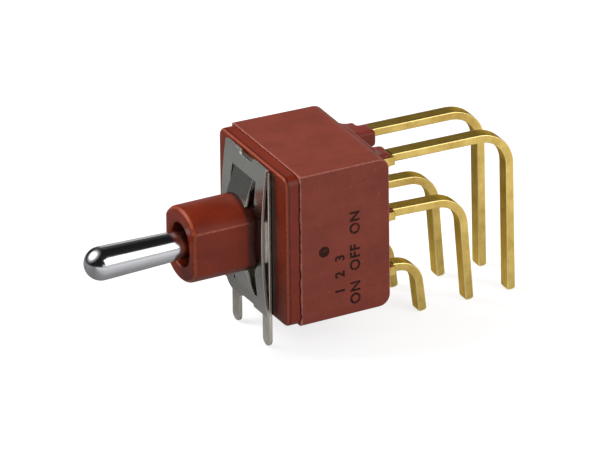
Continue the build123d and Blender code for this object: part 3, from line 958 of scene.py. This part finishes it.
# %% Paper on the floor
paper = Finish("floor_paper", Roughness=0.9, Specular_IOR_Level=0.0)
seen = paper.node("ShaderNodeLightPath", {}, {}, output="Is Camera Ray")
mirrored = paper.node("ShaderNodeLightPath", {}, {}, output="Is Glossy Ray")
through = paper.node("ShaderNodeLightPath", {}, {}, output="Is Transmission Ray")
east, north, _ = paper.parts(paper.millimetres())
lit_way = east * LIT_SIDE.x + north * LIT_SIDE.y
near_share, far_share = (lit_way - NEAR_START) / SPAN, (lit_way - FAR_START) / SPAN
# Painted light: seen in reflections only, the sheet glows towards the lamp side.
painted_lamp_glow = paper.ramp(near_share, (0.06, 0.0), (0.30, 1.0), (0.57, 1.0), (0.82, 0.5))
glow = (seen + through) * PAPER_GLOW + mirrored * painted_lamp_glow * MIRRORED_GLOW
# Painted shade: seen in reflections only, the sheet darkens close beside the switch on the far
# side, and to grey further off.
painted_floor_shade = paper.ramp(
    far_share, (0.10, 0.28), (0.46, 0.90), (0.70, 0.62), (0.76, 0.64), (0.79, 1.0)
)
paper.shader.inputs["Emission Strength"].default_value = 1.0
paper.feed(Emission_Color=glow, Base_Color=PAPER_TONE * (1.0 - mirrored * (1.0 - painted_floor_shade)))
floor_mesh.materials.append(paper.material)
print("paper:", len(paper.tree.nodes), "nodes")

# %% Room
world = bpy.data.worlds.new("room")
bpy.context.scene.world = world
world.use_nodes = True


class Room(Finish):
    """The world's own nodes, written in the same way as a finish."""

    def __init__(self, tree):
        self.tree = tree


FRONT_WAY = Vector((-0.43, -0.54, 0.71)).normalized()
REAR_WAY = Vector((-0.80, 0.41, 0.44)).normalized()
SIDE_WAY = Vector((0.30, 0.95, 0.0))
CEILING_TONE, WALL_TONE, BELOW_TONE, FRONT_TONE, REAR_TONE = 0.014, 0.93, 0.28, 4.0, 0.10
PLAIN_LEVEL = 0.40
room = Room(world.node_tree)
outlook = room.node("ShaderNodeTexCoord", {}, {}, output="Generated")
across, ahead, height = room.parts(outlook)
side = room.ramp(across * SIDE_WAY.x + ahead * SIDE_WAY.y, (0.0, 0.0), (0.16, 1.0))
wall = room.ramp(height, (0.12, 1.0), (0.34, 0.0))
below = room.ramp(height * -1.0, (0.0, 0.0), (0.05, 1.0))
lamp_cosine = across * FRONT_WAY.x + ahead * FRONT_WAY.y + height * FRONT_WAY.z
front_glow = room.ramp(lamp_cosine, (0.70, 0.0), (0.84, 0.10), (0.92, 0.40), (0.98, 1.0))
rear_cosine = across * REAR_WAY.x + ahead * REAR_WAY.y + height * REAR_WAY.z
rear_glow = room.ramp(rear_cosine, (0.88, 0.0), (0.97, 1.0))
room_tone = CEILING_TONE + WALL_TONE * (side * wall) + BELOW_TONE * below
mirror_tone = room_tone + FRONT_TONE * front_glow + REAR_TONE * rear_glow
to_camera = room.node("ShaderNodeLightPath", {}, {}, output="Is Camera Ray")
to_mirror = room.node("ShaderNodeLightPath", {}, {}, output="Is Glossy Ray")
studio = PLAIN_LEVEL + to_mirror * (mirror_tone - PLAIN_LEVEL) + to_camera * (1.0 - PLAIN_LEVEL)
light = room.node("ShaderNodeBackground", {}, {"Color": studio, "Strength": 1.0})
room.tree.links.new(light.socket, room.tree.nodes["World Output"].inputs["Surface"])
print("room lit from", [round(v, 2) for v in LIT_SIDE])


# %% Lamps
def soft_lamp(name, direction, distance, size, power):
    data = bpy.data.lights.new(name, "AREA")
    data.shape = "RECTANGLE"
    data.size, data.size_y = size
    data.energy = power
    lamp = bpy.data.objects.new(name, data)
    bpy.context.scene.collection.objects.link(lamp)
    aim = Vector((0.0, 0.0, seam_centre.z))
    lamp.location = aim + Vector(direction).normalized() * distance
    lamp.rotation_euler = (aim - lamp.location).to_track_quat("-Z", "Y").to_euler()
    return lamp


soft_lamp("lamp_right", (0.80, 0.41, 0.46), 0.30, (0.26, 0.22), 0.46)
front = soft_lamp("lamp_front", FRONT_WAY, 0.35, (0.18, 0.18), 1.0)
front.visible_glossy = False

# %% Plain view of the colours
bpy.context.scene.view_settings.view_transform = "Standard"
print("view transform:", bpy.context.scene.view_settings.view_transform)
